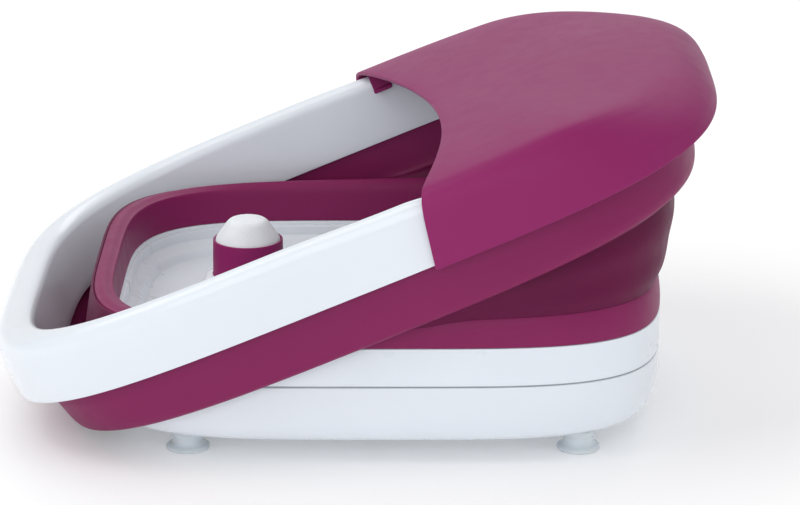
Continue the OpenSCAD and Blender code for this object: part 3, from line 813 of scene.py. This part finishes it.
def clips():
    obs = []
    for x0, s, y0 in ((24, 1, 148), (72, -1, -145.5)):
        sec = fillet(
            [(-1.0, 42.6, 0.2), (-1.0, 31.8, 0.6), (-4.0, 31.2, 0.8), (-4.0, 29.1, 0.8), (1.0, 29.1, 0.8), (1.0, 42.6, 0.2)], closed=True, seg=4, step=3
        )
        pts = [(y0 + s * u, h) for u, h in sec]
        n = len(pts)
        verts, faces = [], []
        xs = [0, 0.35, 1.0, 4, 8, 11, 11.65, 12]
        for x in xs:
            cy = sum(p[0] for p in pts) / n
            ch = sum(p[1] for p in pts) / n
            k = 0.93 if x in (0, 12) else (0.985 if x in (0.35, 11.65) else 1)
            for y, h in pts:
                verts.append((x0 + x, cy + (y - cy) * k, ch + (h - ch) * k))
        for a in range(len(xs) - 1):
            for b in range(n):
                faces.append((a * n + b, a * n + (b + 1) % n, (a + 1) * n + (b + 1) % n, (a + 1) * n + b))
        faces.append(tuple(range(n)))
        faces.append(tuple(range((len(xs) - 1) * n, len(xs) * n))[::-1])
        v = np.array(verts)
        obs.append(new_object("clip", put_rim(v[:, 0], v[:, 1], v[:, 2]), faces))
    ob = join("guard_hooks", obs)
    return finish_piece(ob, BERRY, "guard", ("guard_clips",))


# ------------------------------------------------------------------ post
POST = (-77.2, 0.0, 70.0)


def post():
    prof = fillet(
        [(0, 2.9, 0), (17.95, 2.9, 0.2), (17.95, 0.02, 0.2), (21.6, 0.02, 0.5), (21.0, 1.6, 1.2), (20.9, 12, 0), (20.75, 21.7, 0.7), (19.55, 21.7, 0.5),
         (19.55, 5.25, 0.2), (0, 5.25, 0)],
        seg=5, step=3,
    )
    ob = lathe("post_cup", prof, POST, n=128)
    return finish_piece(ob, BERRY, "base", ("pedicure_holder",))


def pumice():
    line = curve_through(
        [(19.3, 0.3), (19.1, 1.7), (17.9, 4.0), (15.9, 6.9), (13.9, 9.8), (12.1, 12.2), (10.2, 13.6), (7.2, 14.25), (3.4, 14.5), (0.01, 14.55)], per=7
    )
    prof = [(0, 0.05), (10, 0.05), (18.4, 0.05), (19.1, 0.1)] + line

    def rough(u, v, h):
        uu, vv, hh = u.copy(), v.copy(), h.copy()
        for k in range(len(u)):
            if h[k] < 0.5:
                continue
            p = Vector((u[k] * 1.5, v[k] * 1.5, h[k] * 1.5))
            f = noise.fractal(p, 0.7, 2.1, 3) * 0.10 - abs(noise.noise(p * 1.4)) * 0.14
            r = math.hypot(u[k], v[k]) + 1e-6
            g = f * min(1.0, (h[k] - 0.4) / 1.5)
            uu[k] += u[k] / r * g * 0.7
            vv[k] += v[k] / r * g * 0.7
            hh[k] += g * 0.7
        return uu, vv, hh

    ob = lathe("pumice_dome", prof, (POST[0], POST[1], 90.0), n=220, bump=rough)
    finish_piece(ob, PUMICE, "pumice", ("pumice_stone",))
    ring = fillet(
        [(16.9, 5.4, 0.2), (19.45, 5.4, 0.4), (19.45, 19.9, 0.4), (17.0, 19.9, 0.2)], closed=True, seg=4, step=3
    )
    a = ring_angles(96)
    rows = [put(POST[0] + r * np.cos(a), POST[1] + r * np.sin(a), POST[2] + h) for r, h in ring]
    pl = ring_piece("pumice_sleeve", rows)
    finish_piece(pl, LIGHT, "pumice", ("pumice_plug",))
    return ob


# ------------------------------------------------------------------ controls on the far side
def knob():
    """Turn knob: skirt, grip with flutes and a raised pointer, on its shaft."""
    cx, cz = 20.0, 30.0
    n = 180
    a = ring_angles(n)
    prof = fillet(
        [(0, 126.6, 0), (2.95, 126.6, 0.3), (2.95, 138.4, 0), (4.35, 138.5, 0.2), (4.35, 145.0, 0.2), (11.6, 145.0, 0.3), (12.0, 146.2, 0.5),
         (11.4, 148.4, 0.8), (9.6, 149.2, 0.8), (9.0, 151.0, 0.5), (8.6, 152.5, 0.9), (0, 152.8, 0)],
        seg=5, step=2,
    )
    rows = []
    for r, h in prof:
        flute = 0.45 * (0.5 - 0.5 * np.cos(18 * a)) * (1 if 9.7 > r > 7.9 and h > 149.0 else 0)
        rr = r - flute
        rows.append(put(cx + rr * np.cos(a), h, cz + rr * np.sin(a)))
    rows = np.array(rows)
    verts, faces = list(rows.reshape(-1, 3)), []
    for i in range(len(rows) - 1):
        for j in range(n):
            l = (j + 1) % n
            faces.append((i * n + j, i * n + l, (i + 1) * n + l, (i + 1) * n + j))
    body = new_object("k1", verts, faces)
    # pointer rib
    sec = fillet([(-1.0, 148.6, 0.3), (-0.9, 152.95, 0.5), (0.9, 152.95, 0.5), (1.0, 148.6, 0.3)], closed=True, seg=4, step=2)
    v, f = [], []
    zs = [1.0, 2.0, 9.6, 10.3, 10.6]
    for z in zs:
        k = {10.6: 0.6, 10.3: 0.85}.get(z, 1.0)
        for u, h in sec:
            v.append((cx + u * k, min(h, 149.9) if z > 9 and h > 151 else h, cz + z))
    m = len(sec)
    for i in range(len(zs) - 1):
        for j in range(m):
            f.append((i * m + j, i * m + (j + 1) % m, (i + 1) * m + (j + 1) % m, (i + 1) * m + j))
    f.append(tuple(range(m)))
    f.append(tuple(range((len(zs) - 1) * m, len(zs) * m))[::-1])
    v = np.array(v)
    rib = new_object("k2", put(v[:, 0], v[:, 1], v[:, 2]), f)
    ob = join("dial_knob", [body, rib])
    return finish_piece(ob, BERRY, "knob", ("selector_knob",))


def wall_y(x, z):
    """Outer face of the base on the +Y side at (x, z)."""
    prof = [(14, 18), (15.9, 10.5), (18.8, 6), (23, 3), (28, 1.2), (34, 0.4), (48.6, 0), (71.6, 0)]
    d = float(np.interp(z, [p[0] for p in prof], [p[1] for p in prof]))
    return (BASE_B - d) * (1 - (abs(x) / (BASE_A - d)) ** BASE_N) ** (1 / BASE_N)


def dial_ring():
    """Thin ring with three raised position dots, set on the wall round the knob."""
    cx, cz = 20.0, 30.0
    a = ring_angles(120)
    rows = []
    for r, lift in fillet([(13.0, -0.4, 0), (13.1, 0.35, 0.2), (14.4, 0.35, 0.2), (14.6, -0.4, 0)], closed=True, seg=3):
        rows.append(np.array([put(cx + r * math.cos(t), wall_y(cx + r * math.cos(t), cz + r * math.sin(t)) + lift, cz + r * math.sin(t)) for t in a]))
    obs = [ring_piece("d0", rows)]
    for i, deg in enumerate((90, 30, -30)):
        t = math.radians(deg)
        x, z = cx + 17.6 * math.cos(t), cz + min(17.6 * math.sin(t), 17.4)
        y = wall_y(x, z)
        prof = fillet([(0, -0.4, 0), (1.1, -0.4, 0.1), (1.1, 0.25, 0.2), (0, 0.45, 0)], seg=4)
        obs.append(lathe("d%d" % (i + 1), [(r * (0.8 + 0.2 * i), h) for r, h in prof], (x, y, z), axis="y", n=32))
    ob = join("dial_scale", obs)
    return finish_piece(ob, SEAL, "base", ())


def gland():
    cx, cz = 80.0, 32.0
    a = ring_angles(96)
    sec = fillet(
        [(3.6, 133.0, 0.2), (8.1, 133.0, 0.3), (8.1, 135.4, 0.3), (6.0, 135.6, 0.2), (6.0, 143.8, 0.1), (8.5, 143.9, 0.5), (8.3, 146.0, 0.8),
         (6.3, 146.6, 0.8), (5.4, 149.0, 0.6), (3.6, 149.0, 0.4)],
        closed=True, seg=4, step=2,
    )
    ob = ring_piece("lead_gland", [put(cx + r * np.cos(a), h, cz + r * np.sin(a)) for r, h in sec])
    return finish_piece(ob, RUBBER, "base", ("cord_gland",))


tub()
bottom()
gasket()
feet()
lower_band()
upper_band()
web()
rim()
guard()
clips()
post()
pumice()
knob()
dial_ring()
gland()

# CAD nodes that stay in view keep their own mesh and get their finish
SHOWN = {
    "base_screws": STEEL, "motor_screws": STEEL, "heater_plate": ALU, "heater_element": TUBE,
    "thermal_cutout": BLACK, "motor_housing": MOTOR, "motor_shaft": STEEL, "eccentric_weight": BRASS,
    "motor_bracket": MOTOR, "motor_grommets": RUBBER, "control_board": BOARD, "board_standoffs": LIGHT,
    "switch_body": BLACK, "knob_seal": RUBBER, "terminal_block": LIGHT, "inner_wires": WIRE,
}
for name, mat in SHOWN.items():
    ob = NODES[name]
    ob.data.materials.clear()
    ob.data.materials.append(mat)

# ------------------------------------------------------------------ stage, lights, camera
scene = bpy.context.scene


def floor_sheet():
    """Large pale floor with a soft sweep up far behind."""
    xs = np.linspace(-6, 6, 49)
    prof = [(-4.0, 0.0), (-2, 0), (-1, 0), (0, 0), (1, 0), (2, 0), (3.0, 0.0), (3.6, 0.08), (4.1, 0.35), (4.45, 0.8), (4.6, 1.4), (4.65, 2.2), (4.65, 3.4)]
    prof = curve_through(prof, per=4)
    verts = [(x, y, z - 0.0001) for y, z in prof for x in xs]
    n = len(xs)
    faces = [
        (i * n + j, i * n + j + 1, (i + 1) * n + j + 1, (i + 1) * n + j)
        for i in range(len(prof) - 1)
        for j in range(n - 1)
    ]
    ob = new_object("floor_sweep", verts, faces)
    m = material("floor_pale", (0.93, 0.93, 0.93), 0.62, spec=0.12, tint=(0.003, 2.0), rough_var=(0.04, 6.0))
    glow = m.node_tree.nodes["Principled BSDF"]
    glow.inputs["Emission Color"].default_value = (1, 1, 1, 1)
    glow.inputs["Emission Strength"].default_value = 0.15
    ob.data.materials.append(m)


floor_sheet()


def area(name, loc, target, size, power, color=(1, 1, 1), spread=180):
    li = bpy.data.lights.new(name, "AREA")
    li.shape = "RECTANGLE"
    li.size, li.size_y = size
    li.energy = power
    li.color = color
    li.spread = math.radians(spread)
    ob = bpy.data.objects.new(name, li)
    ob.location = loc
    ob.rotation_euler = (Vector(target) - Vector(loc)).to_track_quat("-Z", "Y").to_euler()
    scene.collection.objects.link(ob)
    return ob


area("key_top_left", (-1.5, -0.5, 2.1), (0.0, 0.0, 0.1), (1.7, 1.7), 19, (1.0, 0.985, 0.965))
area("front_soft", (-0.3, -2.6, 1.1), (0.0, 0.0, 0.1), (2.4, 1.4), 17, (0.95, 0.975, 1.0))
area("side_right", (2.4, -0.6, 0.9), (0.1, 0.0, 0.12), (1.2, 1.6), 3.5, (0.93, 0.96, 1.0))
area("back_top", (0.2, 1.8, 1.9), (0.0, 0.0, 0.1), (2.2, 1.0), 11, (1.0, 1.0, 1.0))

world = bpy.data.worlds.new("studio_world")
world.use_nodes = True
scene.world = world
wn = world.node_tree
bg = wn.nodes["Background"]
grad_co = wn.nodes.new("ShaderNodeTexCoord")
sep = wn.nodes.new("ShaderNodeSeparateXYZ")
ramp = wn.nodes.new("ShaderNodeValToRGB")
wn.links.new(grad_co.outputs["Generated"], sep.inputs["Vector"])
wn.links.new(sep.outputs["Z"], ramp.inputs["Fac"])
ramp.color_ramp.elements[0].position = 0.0
ramp.color_ramp.elements[0].color = (0.72, 0.76, 0.82, 1)
ramp.color_ramp.elements[1].position = 0.75
ramp.color_ramp.elements[1].color = (1.0, 1.0, 1.0, 1)
wn.links.new(ramp.outputs["Color"], bg.inputs["Color"])
bg.inputs["Strength"].default_value = 0.64

AZ, EL, DIST = math.radians(0.16433), math.radians(17.46617), 2.00971
target = Vector(((13.25829 + SHIFT) / 1000 , 0.0, 0.08282799))
cam_data = bpy.data.cameras.new("camera")
cam_data.sensor_width = 36.0
cam_data.lens = 3374.3647 / 800 * 36.0
cam_data.clip_start, cam_data.clip_end = 0.05, 50
cam = bpy.data.objects.new("camera", cam_data)
cam.location = target + DIST * Vector((math.sin(AZ) * math.cos(EL), -math.cos(AZ) * math.cos(EL), math.sin(EL)))
cam.rotation_euler = (target - cam.location).to_track_quat("-Z", "Y").to_euler()
scene.collection.objects.link(cam)
scene.camera = cam
scene.view_settings.view_transform = "Standard"
